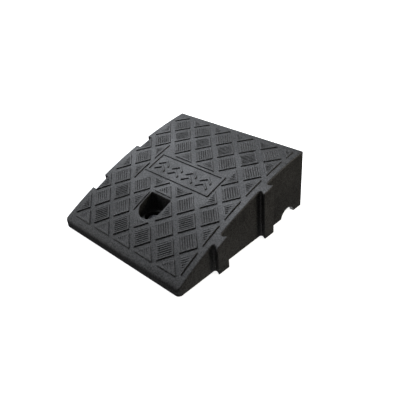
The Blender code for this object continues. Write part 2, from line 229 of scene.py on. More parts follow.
half, end = WIDTH / 2, DEPTH / 2
plan = [((half, -end), 6 * MM, (0, SIDE_ROLL))]
for y in LUG_YS:
    plan += [((half, y - LUG_ROOT), 3 * MM, (SIDE_ROLL, LUG_ROLL)),
             ((half + LUG_REACH, y - LUG_HEAD), 1 * MM, (LUG_ROLL, LUG_ROLL)),
             ((half + LUG_REACH, y + LUG_HEAD), 1 * MM, (LUG_ROLL, LUG_ROLL)),
             ((half, y + LUG_ROOT), 3 * MM, (LUG_ROLL, SIDE_ROLL))]
plan += [((half, end), 0.8 * MM, (SIDE_ROLL, KERB_ROLL)),
         ((-half, end), 0.8 * MM, (KERB_ROLL, FAR_ROLL))]
for y in reversed(LUG_YS):
    y -= SOCKET_SHIFT
    plan += [((-half, y + SOCKET_MOUTH), 1.2 * MM, (FAR_ROLL, SOCKET_ROLL)),
             ((-half + SOCKET_DEPTH, y + SOCKET_BACK), 1 * MM, (SOCKET_ROLL, SOCKET_ROLL)),
             ((-half + SOCKET_DEPTH, y - SOCKET_BACK), 1 * MM, (SOCKET_ROLL, SOCKET_ROLL)),
             ((-half, y - SOCKET_MOUTH), 1.2 * MM, (SOCKET_ROLL, FAR_ROLL))]
plan += [((-half, -end), 6 * MM, (FAR_ROLL, 0))]
PLAN_CORNERS, PLAN_RADII, PLAN_ROLLS = (np.array(column) for column in zip(*plan))
print("plan outline has", len(plan), "corners")

# %% [markdown]
# The outer skin is a stack of those loops. The walls rise to the deck, then the loops step inwards
# while they climb the last bit of a quarter circle, which gives the soft edge where the deck meets
# the side. Inside the last loop, a Delaunay mesh on a regular grid of points carries the arc.

# %% Outer skin of the moulding
def quarter_drop(radius, inset):
    """How far a rounded edge lies under the top at an inset: radius less the circle's height."""
    short = np.clip(radius - inset, 0, None)
    return radius - np.sqrt(np.clip(radius ** 2 - short ** 2, 0, None))


def inside_polygon(points, loop):
    """Which points lie in a loop: count the loop's sides that a line towards +x crosses."""
    nxt = np.roll(loop, -1, axis=0)
    px, py = points[:, :1], points[:, 1:]
    spans = (loop[:, 1] > py) != (nxt[:, 1] > py)
    rise = np.where(nxt[:, 1] == loop[:, 1], 1, nxt[:, 1] - loop[:, 1])
    cross = loop[:, 0] + (py - loop[:, 1]) * (nxt[:, 0] - loop[:, 0]) / rise
    return (spans & (px < cross)).sum(1) % 2 == 1


EDGE_INSETS = np.array([0, 0.05, 0.2, 0.45, 0.8, 1.25, 1.8, 2.6]) * MM
WALL_STEP = 3 * MM
DECK_STEP = 4 * MM
FOOT_ROUND = 0.2 * MM

loops = []
for inset, lift in ((FOOT_ROUND, 0), (0, FOOT_ROUND)):
    flat, _ = inset_outline(PLAN_CORNERS, PLAN_RADII, inset, WALL_STEP)
    loops.append(np.column_stack([flat, np.full(len(flat), lift)]))
for inset in EDGE_INSETS:
    flat, roll = inset_outline(PLAN_CORNERS, PLAN_RADII, inset, WALL_STEP, PLAN_ROLLS)
    loops.append(np.column_stack([flat, deck_height(flat[:, 1]) - quarter_drop(roll, inset)]))
loops = np.array(loops)
at_kerb = loops[..., 1] > DEPTH / 2 - 3 * MM
loops[..., 1] -= np.where(at_kerb, KERB_DRAFT * (1 - loops[..., 2] / HEIGHT), 0)

rim = loops[-1, :, :2]
xs = np.arange(-half, half, DECK_STEP)
ys = np.arange(-end, end, DECK_STEP)
grid = np.stack(np.meshgrid(xs, ys), -1).reshape(-1, 2)
gap = np.linalg.norm(grid[:, None] - rim[None], axis=2).min(1)
grid = grid[(gap > DECK_STEP * 0.4) & inside_polygon(grid, rim)]
flat = np.concatenate([rim, grid])
result = delaunay_2d_cdt([Vector(p) for p in flat], [], [list(range(len(rim)))], 1, 1e-7)
top = np.array([tuple(v) for v in result[0]])
top = np.column_stack([top, deck_height(top[:, 1])])
columns = len(rim)
skin_points = np.concatenate([loops[:-1].reshape(-1, 3), top])
first_top = (len(loops) - 1) * columns
order = {i: k for k, origins in enumerate(result[3]) for i in origins if i < columns}
rim_at = np.array([order[i] for i in range(columns)]) + first_top
skin_faces = grid_faces(len(loops) - 1, columns, close_columns=True)
last = first_top - columns + np.arange(columns)
skin_faces += np.stack([last, np.roll(last, -1), np.roll(rim_at, -1), rim_at], 1).tolist()
skin_faces += [[i + first_top for i in face] for face in result[2]]
skin_faces.append(list(range(columns)))
skin = make_mesh_object("ramp_moulding", skin_points, skin_faces)
print("skin has", len(skin.data.polygons), "faces")

# %% [markdown]
# Turned over, the module is a grid of open cells between 5 mm ribs: the mould's cores leave it
# light, and let it cool without sinking. Each cell leans by a degree or so and has round corners,
# so that the cores pull out. They are cut from the solid skin, since a real core does the same.

# %% Cores for the cells and the pad pockets
SHELL = 0.007
DECK_THICK = 0.008
RIB = 0.005
COLUMNS = 8
CELLS_BEHIND = 5
CELLS_AHEAD = 4
NOSE_SOLID = 0.018
SOCKET_SHELL = 0.0055
OVERRUN = 0.010
WELL_Y = -0.0572
WELL_RADIUS = 0.0200
BOSS_WALL = 0.0050
CORE_SPAN = (0.0135, 0.0240)
CORE_TOP = 0.0220
PAD_POCKET = 0.0093
PAD_POCKET_TOP = 0.0030
STEM_POCKET = 0.0033
STEM_POCKET_TOP = 0.0098
CELL_CORNER = 1.8 * MM
CORE_STEP = 9 * MM
# One core's loops from its foot up, as (inset, depth under its top); the foot has no such depth.
CORE_LOOPS = ((0, None), (0.35 * MM, 1.5 * MM), (0.75 * MM, 0.5 * MM), (1.7 * MM, 0))


def core(corners, top):
    """Core of one cell: a rounded rectangle that draws in on the way up and rounds off on top."""
    rings = []
    for inset, under in CORE_LOOPS:
        flat, _ = inset_outline(corners, CELL_CORNER, inset, CORE_STEP)
        height = np.full(len(flat), -OVERRUN) if under is None else top(flat[:, 1]) - under
        rings.append(np.column_stack([flat, height]))
    return stacked_loops(np.array(rings))


def rectangle(x0, x1, y0, y1):
    """Corners of a rectangle, counter-clockwise."""
    return [(x0, y0), (x1, y0), (x1, y1), (x0, y1)]


def turned(profile, x=0.0, y=0.0, steps=64):
    """Solid turned about an upright axis at x, y from (radius, height) pairs."""
    radius, height = np.array(profile, float).T[:, :, None]
    angle = np.linspace(0, 2 * math.pi, steps, endpoint=False)
    loops = [x + radius * np.cos(angle), y + radius * np.sin(angle), height + 0 * angle]
    return stacked_loops(np.stack(loops, -1))


cell_w = (WIDTH - 2 * SHELL - (COLUMNS - 1) * RIB) / COLUMNS
behind = (DEPTH / 2 - SHELL - RIB / 2 - (CELLS_BEHIND - 1) * RIB) / CELLS_BEHIND
ahead = (DEPTH / 2 - NOSE_SOLID - RIB / 2 - (CELLS_AHEAD - 1) * RIB) / CELLS_AHEAD
cell_xs = [-half + SHELL + i * (cell_w + RIB) for i in range(COLUMNS)]
cell_ys = [(-RIB / 2 - i * (ahead + RIB) - ahead, ahead) for i in range(CELLS_AHEAD)]
cell_ys += [(RIB / 2 + i * (behind + RIB), behind) for i in range(CELLS_BEHIND)]
pads = {}
for side, column in (("left", 1), ("right", COLUMNS - 2)):
    for place, row in (("front", CELLS_AHEAD - 2), ("back", CELLS_AHEAD + 2)):
        start, depth = cell_ys[row]
        pads[place + "_" + side] = (cell_xs[column] + cell_w / 2, start + depth / 2)

cores = []
boss = WELL_RADIUS + BOSS_WALL
beside = SOCKET_BACK + SOCKET_SHELL
for x in cell_xs:
    for y, depth in cell_ys:
        if any(x < px < x + cell_w and y < py < y + depth for px, py in pads.values()):
            continue
        if x < boss and x + cell_w > -boss and y < WELL_Y + boss and y + depth > WELL_Y - boss:
            continue
        left = x
        if any(abs(y + depth / 2 - lug + SOCKET_SHIFT) < beside + depth / 2 for lug in LUG_YS):
            left = max(x, -half + SOCKET_DEPTH + SOCKET_SHELL)
        cell = rectangle(left, x + cell_w, y, y + depth)
        cores.append(core(cell, lambda v: deck_height(v) - DECK_THICK))
near, far = CORE_SPAN
for sx in (-1, 1):
    for sy in (-1, 1):
        x0, x1 = sorted((sx * near, sx * far))
        y0, y1 = sorted((WELL_Y + sy * near, WELL_Y + sy * far))
        cores.append(core(rectangle(x0, x1, y0, y1), lambda v: CORE_TOP + 0 * v))
for x, y in pads.values():
    cores.append(turned([(PAD_POCKET, -OVERRUN), (PAD_POCKET, PAD_POCKET_TOP),
                         (STEM_POCKET, PAD_POCKET_TOP), (STEM_POCKET, STEM_POCKET_TOP)], x, y, 48))
print(len(cores), "cores of", round(cell_w * 1000, 1), "mm width")

# %% [markdown]
# The well is D-shaped: round towards the nose, straight towards the kerb. Its rim flares by about
# a millimetre, and the flare has to follow the sloping deck, so the cutter's loops take their
# height from the deck itself. Under it a round bore leaves room for a socket wrench.

# %% Cut the hollows
WELL_BACK = 0.0192
WELL_FLOOR = 0.0290
WELL_ARC_POINTS = 19
SKIN_SHARP_ABOVE = 32
BORE_RADIUS = 0.0125
BORE_FLARE = 0.6 * MM
SEAT_Z = 0.0060
HOLE_RADIUS = 0.0058
TUNNEL_Y = 0.0946
TUNNEL_RADIUS = 0.0160
TUNNEL_DROP = 0.0035
# Loops of the well's cutter from the floor up: inset, then height over the floor or drop under
# the deck, in millimetres.
FLOOR_LOOPS = ((2.0, 0.0), (0.9, 0.6), (0.35, 2.4))
RIM_LOOPS = ((0, 1.4), (-0.12, 0.6), (-0.45, 0.15), (-1.1, -0.02), (-1.1, -6))

angle = np.linspace(math.pi, 2 * math.pi, WELL_ARC_POINTS)
arc = [WELL_RADIUS * np.cos(angle), WELL_Y + WELL_RADIUS * np.sin(angle)]
well_corners = np.column_stack(arc).tolist()
well_corners += [(WELL_RADIUS, WELL_Y + WELL_BACK), (-WELL_RADIUS, WELL_Y + WELL_BACK)]
well_radii = [WELL_RADIUS * 0.9] * WELL_ARC_POINTS + [2.0 * MM, 2.0 * MM]
rings = []
for inset, over in FLOOR_LOOPS:
    flat, _ = inset_outline(well_corners, well_radii, inset * MM, 4 * MM)
    rings.append(np.column_stack([flat, np.full(len(flat), WELL_FLOOR + over * MM)]))
for inset, under in RIM_LOOPS:
    flat, _ = inset_outline(well_corners, well_radii, inset * MM, 4 * MM)
    rings.append(np.column_stack([flat, deck_height(flat[:, 1]) - under * MM]))
well = stacked_loops(np.array(rings))
angle = np.linspace(0, math.pi, 25)
arch = [(TUNNEL_Y + TUNNEL_RADIUS * math.cos(a), TUNNEL_RADIUS * math.sin(a) - TUNNEL_DROP)
        for a in angle]
arch += [(TUNNEL_Y - TUNNEL_RADIUS, -OVERRUN), (TUNNEL_Y + TUNNEL_RADIUS, -OVERRUN)]
reach = half + LUG_REACH + OVERRUN
tunnel = stacked_loops(np.array([[(x, y, z) for y, z in arch] for x in (-reach, reach)]))
bore = turned([(HOLE_RADIUS, -OVERRUN), (HOLE_RADIUS, SEAT_Z), (BORE_RADIUS, SEAT_Z),
               (BORE_RADIUS, WELL_FLOOR - BORE_FLARE), (BORE_RADIUS + BORE_FLARE, WELL_FLOOR),
               (BORE_RADIUS + BORE_FLARE, WELL_FLOOR + 2 * MM)], 0, WELL_Y)
print("well", round(WELL_RADIUS * 2000), "mm wide over a bore of", round(BORE_RADIUS * 2000), "mm")


def cut(target, solid):
    """Subtract a closed solid from a piece, apply it and drop the cutter."""
    cutter = make_mesh_object("cutter", *solid)
    modifier = target.modifiers.new("cut", "BOOLEAN")
    modifier.operation, modifier.solver, modifier.object = "DIFFERENCE", "EXACT", cutter
    graph = bpy.context.evaluated_depsgraph_get()
    mesh = bpy.data.meshes.new_from_object(target.evaluated_get(graph))
    target.modifiers.clear()
    target.data = mesh
    bpy.data.objects.remove(cutter)


for solid in (joined(cores), joined([well, tunnel]), bore):
    cut(skin, solid)
skin.data.shade_smooth()
skin.data.set_sharp_from_angle(angle=math.radians(SKIN_SHARP_ABOVE))
declare(skin, "ramp", "ramp_body")

# %% [markdown]
# The tread is a lattice of square blocks standing on their corners, in staggered rows. Each block
# has seven fine grooves that stop short of its edges, and the grooves turn by a quarter from row
# to row, so that a tyre or a shoe finds an edge whichever way it slips. Blocks that meet the
# border, the panel or the well are cut off there, so a block is any convex outline.

# %% Outlines of the tread blocks
TREAD_PITCH = 0.0459
TREAD_FIRST = 0.0093
TREAD_ROWS = 12
TREAD_HALF = 0.0179
TREAD_RISE = 0.0014
TREAD_ROOT = 0.0008
FIELD_X = 0.1145
FIELD_END = 0.26175
SMALLEST_BLOCK = 2e-5
PANEL_ZONE = (0.0694, 0.1002, 0.1478)
WELL_ZONE = (0.02295, 0.1695, 0.2176)


def clip(outline, axis, limit, keep_above):
    """Part of a convex outline on one side of the line x = limit or s = limit."""
    sign = 1 if keep_above else -1
    kept = []
    for here, there in zip(outline, outline[1:] + outline[:1]):
        inside, next_inside = (sign * (p[axis] - limit) >= 0 for p in (here, there))
        if inside:
            kept.append(here)
        if inside != next_inside:
            t = (limit - here[axis]) / (there[axis] - here[axis])
            kept.append(tuple(a + t * (b - a) for a, b in zip(here, there)))
    return kept


def area(outline):
    """Shoelace area of an outline."""
    pairs = zip(outline, outline[1:] + outline[:1])
    return abs(sum(a[0] * b[1] - b[0] * a[1] for a, b in pairs)) / 2


def clear_of(outline, zone):
    """The largest part of an outline that stays out of a plain zone."""
    side, start, stop = zone
    xs, ss = zip(*outline)
    if min(xs) >= side or max(xs) <= -side or min(ss) >= stop or max(ss) <= start:
        return outline
    choices = [clip(outline, 0, side, True), clip(outline, 0, -side, False),
               clip(outline, 1, start, False), clip(outline, 1, stop, True)]
    return max(choices, key=area)


blocks = ([], [])
for row in range(TREAD_ROWS):
    s = TREAD_FIRST + row * TREAD_PITCH / 2
    for column in range(-3, 3):
        x = (column + (0.0 if row % 2 else 0.5)) * TREAD_PITCH
        square = [(x, s - TREAD_HALF), (x + TREAD_HALF, s),
                  (x, s + TREAD_HALF), (x - TREAD_HALF, s)]
        for axis, limit, above in ((0, -FIELD_X, True), (0, FIELD_X, False),
                                   (1, TREAD_FIRST, True), (1, FIELD_END, False)):
            square = clip(square, axis, limit, above)
        for zone in (PANEL_ZONE, WELL_ZONE):
            if square:
                square = clear_of(square, zone)
        square = [p for p, before in zip(square, square[-1:] + square[:-1])
                  if math.dist(p, before) > 1e-6]
        if area(square) > SMALLEST_BLOCK:
            blocks[row % 2].append((square, (x, s)))
print(len(blocks[0]), "and", len(blocks[1]), "blocks")

# %% Grooved tread blocks
GROOVE_PITCH = 3.4 * MM
GROOVE_HALF = 0.95 * MM
GROOVE_DEPTH = 0.80 * MM
GROOVE_COUNT = 7
GROOVE_STOP = 2.0 * MM
GROOVE_RUNOUT = 0.9 * MM
WAVES_EACH_SIDE = 5
STEPS_PER_WAVE = 6
WAVE_MARGIN = 0.6 * MM
RELIEF_SHARP_ABOVE = 40
BLOCK_EDGE = 0.30 * MM
BLOCK_FOOT = 0.30 * MM
EDGE_STEPS = np.array([0, 0.04, 0.12, 0.30]) * MM
RUNOUT_STEPS = np.array([1.9, 2.45, 3.0]) * MM


def tread_block(outline, middle, along):
    """One closed block over a convex outline (x, s).

    Rows of the grid run along the grooves, from one crossing with the outline to the other. The
    lift is the block's rise, less a quarter circle within BLOCK_EDGE of the outline, less the
    groove: half a cosine wave across, faded in over GROOVE_RUNOUT past GROOVE_STOP.
    """
    along = np.array(along) / math.sqrt(2)
    across = np.array((-along[1], along[0]))
    corner = np.array(outline)
    p, q = corner @ along, corner @ across
    q_mid = np.array(middle) @ across
    low, high = q.min(), q.max()
    reach = WAVES_EACH_SIDE * STEPS_PER_WAVE
    waves = q_mid + np.arange(-reach, reach + 1) * GROOVE_PITCH / STEPS_PER_WAVE
    waves = waves[(waves > low + WAVE_MARGIN) & (waves < high - WAVE_MARGIN)]
    rows = np.sort(np.concatenate([low + EDGE_STEPS, waves, high - EDGE_STEPS]))
    p2, q2 = np.roll(p, -1), np.roll(q, -1)
    rise = np.where(np.abs(q2 - q) < 1e-9, np.inf, q2 - q)
    t = (rows[:, None] - q) / rise
    hit = (t >= -1e-6) & (t <= 1 + 1e-6) & np.isfinite(rise)
    crossing = p + t * (p2 - p)
    left = np.where(hit, crossing, np.inf).min(1)[:, None]
    right = np.where(hit, crossing, -np.inf).max(1)[:, None]
    steps = np.concatenate([EDGE_STEPS, RUNOUT_STEPS])
    squeeze = np.minimum(1, (right - left) / (2 * steps[-1] + 0.4 * MM))
    p_grid = np.concatenate([left + steps * squeeze, (left + right) / 2,
                             right - steps[::-1] * squeeze], 1)
    q_grid = np.broadcast_to(rows[:, None], p_grid.shape)
    flat = p_grid[..., None] * along + q_grid[..., None] * across
    side = np.roll(corner, -1, axis=0) - corner
    side /= np.linalg.norm(side, axis=1)[:, None]
    inward = np.stack([-side[:, 1], side[:, 0]], 1)
    inward *= np.sign(((corner.mean(0) - corner) * inward).sum(1))[:, None]
    deep = ((flat[:, :, None] - corner) * inward).sum(-1).min(-1).clip(0)
    phase = (q_grid - q_mid) / GROOVE_PITCH
    off = np.abs(phase - np.round(phase)) * GROOVE_PITCH
    wave = 0.5 + 0.5 * np.cos(math.pi * np.minimum(off / GROOVE_HALF, 1))
    wave *= np.abs(np.round(phase)) <= GROOVE_COUNT // 2
    fade = np.clip((deep - GROOVE_STOP) / GROOVE_RUNOUT, 0, 1)
    fade = fade * fade * (3 - 2 * fade)
    lift = TREAD_RISE - quarter_drop(BLOCK_EDGE, deep) - GROOVE_DEPTH * wave * fade
    top_points = deck_point(flat[..., 0], flat[..., 1], lift)
    n_rows, n_columns = lift.shape
    index = np.arange(n_rows * n_columns).reshape(n_rows, n_columns)
    border = np.concatenate([index[0, :-1], index[:-1, -1], index[-1, :0:-1], index[:0:-1, 0]])
    edge = flat.reshape(-1, 2)[border]
    spoke = edge - corner.mean(0)
    foot = edge + spoke / np.linalg.norm(spoke, axis=1)[:, None] * BLOCK_FOOT
    foot_points = deck_point(foot[:, 0], foot[:, 1], -TREAD_ROOT)
    count = n_rows * n_columns
    lower = count + np.arange(len(border))
    faces = grid_faces(n_rows, n_columns)
    faces += np.stack([border, np.roll(border, -1), np.roll(lower, -1), lower], 1).tolist()
    faces.append(lower.tolist())
    return np.concatenate([top_points.reshape(-1, 3), foot_points]), faces


for group, name, along in ((0, "tread_blocks_even", (1, -1)), (1, "tread_blocks_odd", (1, 1))):
    solid = joined([tread_block(outline, middle, along) for outline, middle in blocks[group]])
    tread = make_mesh_object(name, *solid, RELIEF_SHARP_ABOVE)
    declare(tread, "ramp", "ramp_body")

# %% [markdown]
# In the middle of the tread lies a plain panel with a raised frame. Double arrows in it point up
# the slope, as a plain way to say which end goes to the kerb. Frame and arrows share one profile:
# steep flanks, a rounded shoulder and a flat top, given as (inset, lift) in millimetres.

# %% Panel frame and arrows
FRAME_HALF = 0.0658
FRAME_SPAN = (0.1017, 0.1440)
FRAME_RIB = 0.0045
ARROW_XS = (-0.0435, -0.0145, 0.0145, 0.0435)
ARROW_HALF = 0.0105
ARROW_RISE = 0.0080
ARROW_STROKE = 0.0045
ARROW_STEP = 0.0105
ARROW_FOOT = 0.1360
FRAME_CORNER = 0.8 * MM
ARROW_CORNER = 0.9 * MM
ARROW_POINTS_EVERY = 2 * MM
FLANK = ((-0.25, -0.8), (0.05, 0.9), (0.12, 1.15), (0.30, 1.33), (0.60, 1.4))


def over_deck(corners, radius, inset, lift, step=3 * MM):
    """Loop of a rounded polygon in (x, s), laid over the deck at a lift."""
    flat, _ = inset_outline(corners, radius, inset, step)
    return deck_point(flat[:, 0], flat[:, 1], lift)


low, high = FRAME_SPAN
outer = [(-FRAME_HALF, low), (FRAME_HALF, low), (FRAME_HALF, high), (-FRAME_HALF, high)]
profile = [(a * MM, b * MM) for a, b in FLANK]
profile += [(FRAME_RIB - a, b) for a, b in reversed(profile)]
ribs = np.array([over_deck(outer, FRAME_CORNER, inset, lift) for inset, lift in profile])
rib_faces = grid_faces(ribs.shape[0], ribs.shape[1], close_rows=True, close_columns=True)
panel_frame = make_mesh_object("panel_frame", ribs.reshape(-1, 3), rib_faces,
                               RELIEF_SHARP_ABOVE)
declare(panel_frame, "ramp", "ramp_body")

arrows = []
for x in ARROW_XS:
    for foot in (ARROW_FOOT, ARROW_FOOT - ARROW_STEP):
        tip = foot - ARROW_RISE
        chevron = [(x - ARROW_HALF, foot), (x - ARROW_HALF, foot - ARROW_STROKE),
                   (x, tip - ARROW_STROKE), (x + ARROW_HALF, foot - ARROW_STROKE),
                   (x + ARROW_HALF, foot), (x, tip)]
        layers = [over_deck(chevron, ARROW_CORNER, a * MM, b * MM, ARROW_POINTS_EVERY)
                  for a, b in FLANK]
        arrows.append(stacked_loops(np.array(layers)))
panel_arrows = make_mesh_object("panel_arrows", *joined(arrows), RELIEF_SHARP_ABOVE)
declare(panel_arrows, "ramp", "ramp_body")

# %% [markdown]
# Four soft pads are pushed into pockets on the underside, so that the module doesn't creep or
# rattle. They are turned shapes: a ribbed foot, and a stem whose mushroom tip holds in its hole.

# %% Grip pads
# Profiles are (radius, height) in millimetres, from the axis outwards and then up to the tip.
PAD_FOOT = [(0.3, 0.35), (1.2, 0.35), (1.5, 0.0), (3.2, 0.0), (3.5, 0.45), (4.1, 0.45),
            (4.4, 0.0), (6.0, 0.0), (6.3, 0.45), (6.9, 0.45), (7.2, 0.0), (8.3, 0.0)]
PAD_RIM = [(8.8, 0.2), (9.0, 0.7), (9.0, 2.2), (8.8, 2.6), (8.5, 2.7)]
PAD_STEM = [(3.0, 2.7), (2.6, 3.1), (2.6, 7.2), (3.0, 7.7), (3.0, 8.3), (1.9, 9.3), (0.3, 9.5)]
for place, (x, y) in pads.items():
    pad = turned(np.array(PAD_FOOT + PAD_RIM + PAD_STEM) * MM, x, y, 48)
    name = "grip_pad_" + place
    declare(make_mesh_object(name + "_rubber", *pad, 35), "ramp", name)

# %% [markdown]
# The module is held down by an M10 bolt that screws into an anchor in the road. Its thread is a
# real spiral: a ridge profile that depends on height minus turn. Its head is a hexagon whose
# corners are cut back by a 30 degree cone, as a turned chamfer leaves them.

# %% Bolt with a rolled thread
BOLT_TIP = 0.3 * MM
BOLT_LENGTH = 20 * MM
BOLT_SHARP_ABOVE = 28
HEAD_FLATS = 16 * MM
THREAD_PITCH = 1.5 * MM
THREAD_CREST = 4.9 * MM
THREAD_ROOT = 4.05 * MM
THREAD_END = 17.2 * MM
THREAD_FADE = 1.2 * MM
TIP_CHAMFER = 0.35 * MM
# Across one pitch the ridge is a trapezium: it rises by RIDGE_SLOPE and is cut flat at the crest.
RIDGE_PEAK = 1.25
RIDGE_SLOPE = 2.9
# The head, as (height over its bearing face, radius of the turned chamfer) in millimetres.
HEAD_RINGS = ((0.0, 7.6), (0.35, 7.6), (0.36, 9.0), (0.6, 9.4), (3.5, 9.4), (4.4, 9.4),
              (4.9, 9.3), (5.2, 8.9), (5.5, 8.6), (5.8, 8.3), (6.1, 7.9), (6.35, 7.5),
              (6.4, 7.3), (6.4, 5.0), (6.3, 4.8), (6.3, 1.0))

turns = np.linspace(0, 2 * math.pi, 96, endpoint=False)
heights = np.concatenate([np.linspace(0, 17.5, 141), [18.2, 19.0, 19.8]]) * MM
phase = (heights[:, None] / THREAD_PITCH - turns / (2 * math.pi)) % 1
ridge = np.clip(RIDGE_PEAK - np.abs(phase - 0.5) * RIDGE_SLOPE, 0, 1)
runout = np.clip((THREAD_END - heights) / THREAD_FADE, 0, 1)[:, None]
radius = THREAD_ROOT + (THREAD_CREST - THREAD_ROOT) * np.clip(ridge * runout + (1 - runout), 0, 1)
radius = np.minimum(radius, THREAD_ROOT - TIP_CHAMFER + heights[:, None])
hexagon = HEAD_FLATS / 2 / np.cos((turns + math.pi / 6) % (math.pi / 3) - math.pi / 6)
head = [(BOLT_LENGTH + z * MM, np.minimum(hexagon, cone * MM)) for z, cone in HEAD_RINGS]
levels = np.concatenate([heights, [z for z, _ in head]])[:, None] + BOLT_TIP
radii = np.concatenate([radius, [r for _, r in head]])
bolt = np.stack([radii * np.cos(turns), WELL_Y + radii * np.sin(turns), levels + 0 * radii], -1)
bolt_piece = make_mesh_object("bolt_threaded", *stacked_loops(bolt), BOLT_SHARP_ABOVE)
declare(bolt_piece, "bolt", "hex_bolt")

# %% [markdown]
# Two washers stay with the bolt: a flat one that spreads the load on the plastic seat, and a split
# spring washer above it. The flat one is punched, so one rim is rounded by the die. The split one
# is a bar wound into a single turn, so its section is carried along an open circle that climbs.

# %% Washers
def wound(section, z, start, stop, climb, steps):
    """Section (radius, height) carried round the bolt's axis while it climbs evenly."""
    turn = np.linspace(start, stop, steps)
    radius, height = np.array(section, float).T[:, :, None] * MM
    rise = z + climb * (turn - (start + stop) / 2) / (stop - start)
    ring = np.stack([radius * np.cos(turn), WELL_Y + radius * np.sin(turn), height + rise], -1)
    return ring.transpose(1, 0, 2)


FLAT_SECTION = [(5.3, 0.2), (5.5, 0), (9.6, 0), (9.9, 0.15), (10, 0.45), (10, 1.8),
                (9.8, 2.0), (5.6, 2.0), (5.3, 1.7)]
FLAT_STEPS = 96
SPRING_SECTION = [(5.3, 0.35), (5.5, 0.15), (8.8, 0.15), (9.0, 0.35),
                  (9.0, 1.85), (8.8, 2.05), (5.5, 2.05), (5.3, 1.85)]
SPRING_STEPS = 90
SPRING_CLIMB = 0.25 * MM
HALF_SLIT = math.radians(7)

flat_low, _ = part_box("flat_washer")
spring_low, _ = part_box("spring_washer")
last_turn = 2 * math.pi * (FLAT_STEPS - 1) / FLAT_STEPS
ring = wound(FLAT_SECTION, flat_low[2], 0, last_turn, 0, FLAT_STEPS)
faces = grid_faces(ring.shape[0], ring.shape[1], close_rows=True, close_columns=True)
flat_washer = make_mesh_object("flat_washer_punched", ring.reshape(-1, 3), faces)
declare(flat_washer, "washers", "flat_washer")
ring = wound(SPRING_SECTION, spring_low[2], HALF_SLIT, 2 * math.pi - HALF_SLIT, SPRING_CLIMB,
             SPRING_STEPS)
spring_washer = make_mesh_object("spring_washer_wound", *stacked_loops(ring))
declare(spring_washer, "washers", "spring_washer")

# %% [markdown]
# Colours are written as sRGB hex, the way a colour card gives them, and turned to linear once. One
# helper adds a node, sets its sockets, its colour stops and its links, so that a material reads as
# a short recipe.

# %% Colour and node helpers
def linear(hex_code):
    """Linear RGBA of an sRGB hex colour: each channel goes through the sRGB curve backwards."""
    channels = [int(hex_code[i:i + 2], 16) / 255 for i in (1, 3, 5)]
    return (*[c / 12.92 if c < 0.04045 else ((c + 0.055) / 1.055) ** 2.4 for c in channels], 1)


def add_node(tree, kind, settings=None, links=None, values=None, stops=()):
    """New node: its own settings, links as socket: source, socket values, and colour stops."""
    node = tree.nodes.new(kind)
    for key, value in (settings or {}).items():
        setattr(node, key, value)
    for key, value in (values or {}).items():
        node.inputs[key].default_value = value
    for key, source in (links or {}).items():
        tree.links.new(source, node.inputs[key])
    for i, (position, _) in enumerate(stops):
        node.color_ramp.elements[i].position = position
    for i, (_, colour) in enumerate(stops):
        node.color_ramp.elements[i].color = linear(colour)
    return node


def new_material(name, colour, roughness, metallic=0.0):
    """Principled material with its constant sockets set; returns material, tree and shader."""
    material = bpy.data.materials.new(name)
    material.use_nodes = True
    tree = material.node_tree
    shader = tree.nodes["Principled BSDF"]
    shader.inputs["Base Color"].default_value = linear(colour)
    shader.inputs["Roughness"].default_value = roughness
    shader.inputs["Metallic"].default_value = metallic
    return material, tree, shader


# %% [markdown]
# Such a moulding is usually a blend of recycled plastic and rubber with carbon black, pressed in a
# spark-eroded mould. Up close it has a fine grain of about a third of a millimetre, and larger
# cloudy patches where the melt cooled at its own pace. The grain scatters light, so a black
# material looks grey where a wide light glances off it and stays black where it doesn't.

# %% Moulded plastic
# The real grain is about 0.33 mm across, which is too fine to show in the render. So the bump is
# drawn at 1.6 mm and the colour specks at 2.2 mm, about five and seven times as coarse.
CLOUD_SIZE = 45 * MM
SPECK_SIZE = 2.2 * MM
GRAIN_SIZE = 1.6 * MM
CLOUD_SHARE = 0.25


def moulded_plastic():
    """Carbon-black moulded blend with spark-eroded grain and cloudy patches."""
    material, tree, shader = new_material("carbon_black_moulded_blend", "#2a2a2a", 0.52)
    place = add_node(tree, "ShaderNodeTexCoord").outputs["Object"]
    clouds = add_node(tree, "ShaderNodeTexNoise", links={"Vector": place},
                      values={"Scale": 1 / CLOUD_SIZE, "Detail": 3.0, "Roughness": 0.55})
    specks = add_node(tree, "ShaderNodeTexNoise", links={"Vector": place},
                      values={"Scale": 1 / SPECK_SIZE, "Detail": 3.0, "Roughness": 0.7})
    mixed = add_node(tree, "ShaderNodeMath", {"operation": "MULTIPLY_ADD"},
                     {0: clouds.outputs["Fac"], 2: specks.outputs["Fac"]}, {1: CLOUD_SHARE})
    tone = add_node(tree, "ShaderNodeValToRGB", links={"Fac": mixed.outputs[0]},
                    stops=((0.51, "#100f0e"), (0.74, "#484848")))
    tree.links.new(tone.outputs["Color"], shader.inputs["Base Color"])
    grain = add_node(tree, "ShaderNodeTexNoise", links={"Vector": place},
                     values={"Scale": 1 / GRAIN_SIZE, "Detail": 4.0, "Roughness": 0.75})
    bump = add_node(tree, "ShaderNodeBump", links={"Height": grain.outputs["Fac"]},
                    values={"Strength": 0.85, "Distance": 0.40 * MM})
    tree.links.new(bump.outputs["Normal"], shader.inputs["Normal"])
    rough = add_node(tree, "ShaderNodeMapRange", links={"Value": clouds.outputs["Fac"]},
                     values={"From Min": 0.35, "From Max": 0.65, "To Min": 0.46, "To Max": 0.58})
    tree.links.new(rough.outputs["Result"], shader.inputs["Roughness"])
    return material


# %% [markdown]
# Pads like these are usually soft nitrile rubber with talc on it, nearly black and quite dull. The
# bolt and washers are made as carbon steel with black oxide, a conversion coat that leaves a thin
# dark skin with a dull metal glint; their mottling comes from the pickling bath. Its real size,
# some tenths of a millimetre, is too fine to show, so it is drawn at 1.5 mm, and the dust at 2 mm.

# %% Rubber and blackened steel
DUST_SIZE = 2.0 * MM
MOTTLE_SIZE = 1.5 * MM


